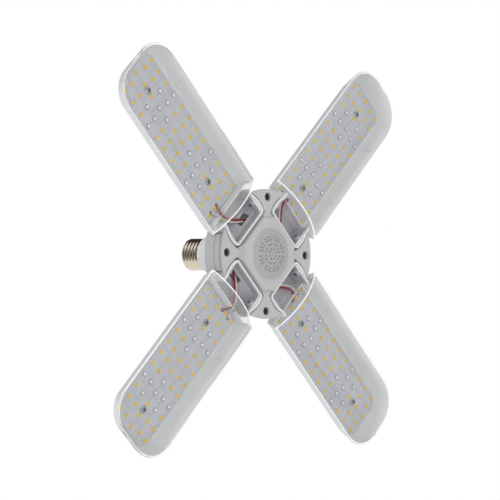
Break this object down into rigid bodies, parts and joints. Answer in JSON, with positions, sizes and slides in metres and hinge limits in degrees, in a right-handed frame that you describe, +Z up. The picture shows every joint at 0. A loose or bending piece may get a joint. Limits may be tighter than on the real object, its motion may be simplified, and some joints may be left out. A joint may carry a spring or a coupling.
{
  "type": "foldable grow light",
  "caption": "Screw-in grow light: a round hub with folding blades, each a white tray with a clear arched lens over an LED board.",
  "frame": {"origin": "on the lamp's axis at the open rim of the screw cap, where it meets the collar", "axes": "+Z up the screw cap into the lamp holder, the light shines down; +X along the first blade, +Y along the second"},
  "size_m": [0.407, 0.407, 0.0965],
  "materials": {
    "hub_plastic": "fine satin moulding",
    "tray_plastic": "satin moulding",
    "clear_polycarbonate": "clear, polished",
    "nickel": "bright plated",
    "black_insulator": "glossy",
    "tinned_contact": "tinned",
    "dark_steel": "blackened",
    "pin_steel": "ground",
    "circuit_board": "lacquered",
    "capacitor_sleeve": "shrink sleeve",
    "ferrite": "sintered",
    "board_enamel": "pale lacquer on aluminium",
    "warm_phosphor": "phosphor gel",
    "clear_epoxy": "clear gel",
    "red_insulation": "wire insulation",
    "white_insulation": "wire insulation"
  },
  "bodies": {
    "hub": {"cap_shell": "nickel", "cap_insulator": "black_insulator", "cap_contact": "tinned_contact", "hub_rear_housing": "hub_plastic", "hub_front_cover": "hub_plastic", "hub_screws": "dark_steel", "driver_board": "circuit_board", "driver_capacitor": "capacitor_sleeve", "driver_choke": "ferrite", "live_lead": "red_insulation", "neutral_lead": "white_insulation", "blade_1_hinge_pins": "pin_steel", "blade_2_hinge_pins": "pin_steel", "blade_3_hinge_pins": "pin_steel", "blade_4_hinge_pins": "pin_steel"},
    "blade_1": {"blade_1_tray": "tray_plastic", "blade_1_lens": "clear_polycarbonate", "blade_1_led_board": "board_enamel", "blade_1_warm_leds": "warm_phosphor", "blade_1_clear_leds": "clear_epoxy", "blade_1_board_screws": "dark_steel", "blade_1_red_lead": "red_insulation", "blade_1_white_lead": "white_insulation"},
    "blade_2": {"blade_2_tray": "tray_plastic", "blade_2_lens": "clear_polycarbonate", "blade_2_led_board": "board_enamel", "blade_2_warm_leds": "warm_phosphor", "blade_2_clear_leds": "clear_epoxy", "blade_2_board_screws": "dark_steel", "blade_2_red_lead": "red_insulation", "blade_2_white_lead": "white_insulation"},
    "blade_3": {"blade_3_tray": "tray_plastic", "blade_3_lens": "clear_polycarbonate", "blade_3_led_board": "board_enamel", "blade_3_warm_leds": "warm_phosphor", "blade_3_clear_leds": "clear_epoxy", "blade_3_board_screws": "dark_steel", "blade_3_red_lead": "red_insulation", "blade_3_white_lead": "white_insulation"},
    "blade_4": {"blade_4_tray": "tray_plastic", "blade_4_lens": "clear_polycarbonate", "blade_4_led_board": "board_enamel", "blade_4_warm_leds": "warm_phosphor", "blade_4_clear_leds": "clear_epoxy", "blade_4_board_screws": "dark_steel", "blade_4_red_lead": "red_insulation", "blade_4_white_lead": "white_insulation"}
  },
  "joints": [
    {"name": "blade_1_fold", "type": "hinge", "parent": "hub", "child": "blade_1", "pos_m": [0.038, 0, -0.06], "axis": [0, 1, 0], "range_deg": [0, 90], "deforming": ["blade_1_red_lead", "blade_1_white_lead"]},
    {"name": "blade_2_fold", "type": "hinge", "parent": "hub", "child": "blade_2", "pos_m": [0, 0.038, -0.06], "axis": [-1, 0, 0], "range_deg": [0, 90], "deforming": ["blade_2_red_lead", "blade_2_white_lead"]},
    {"name": "blade_3_fold", "type": "hinge", "parent": "hub", "child": "blade_3", "pos_m": [-0.038, 0, -0.06], "axis": [0, -1, 0], "range_deg": [0, 90], "deforming": ["blade_3_red_lead", "blade_3_white_lead"]},
    {"name": "blade_4_fold", "type": "hinge", "parent": "hub", "child": "blade_4", "pos_m": [0, -0.038, -0.06], "axis": [1, 0, 0], "range_deg": [0, 90], "deforming": ["blade_4_red_lead", "blade_4_white_lead"]}
  ]
}
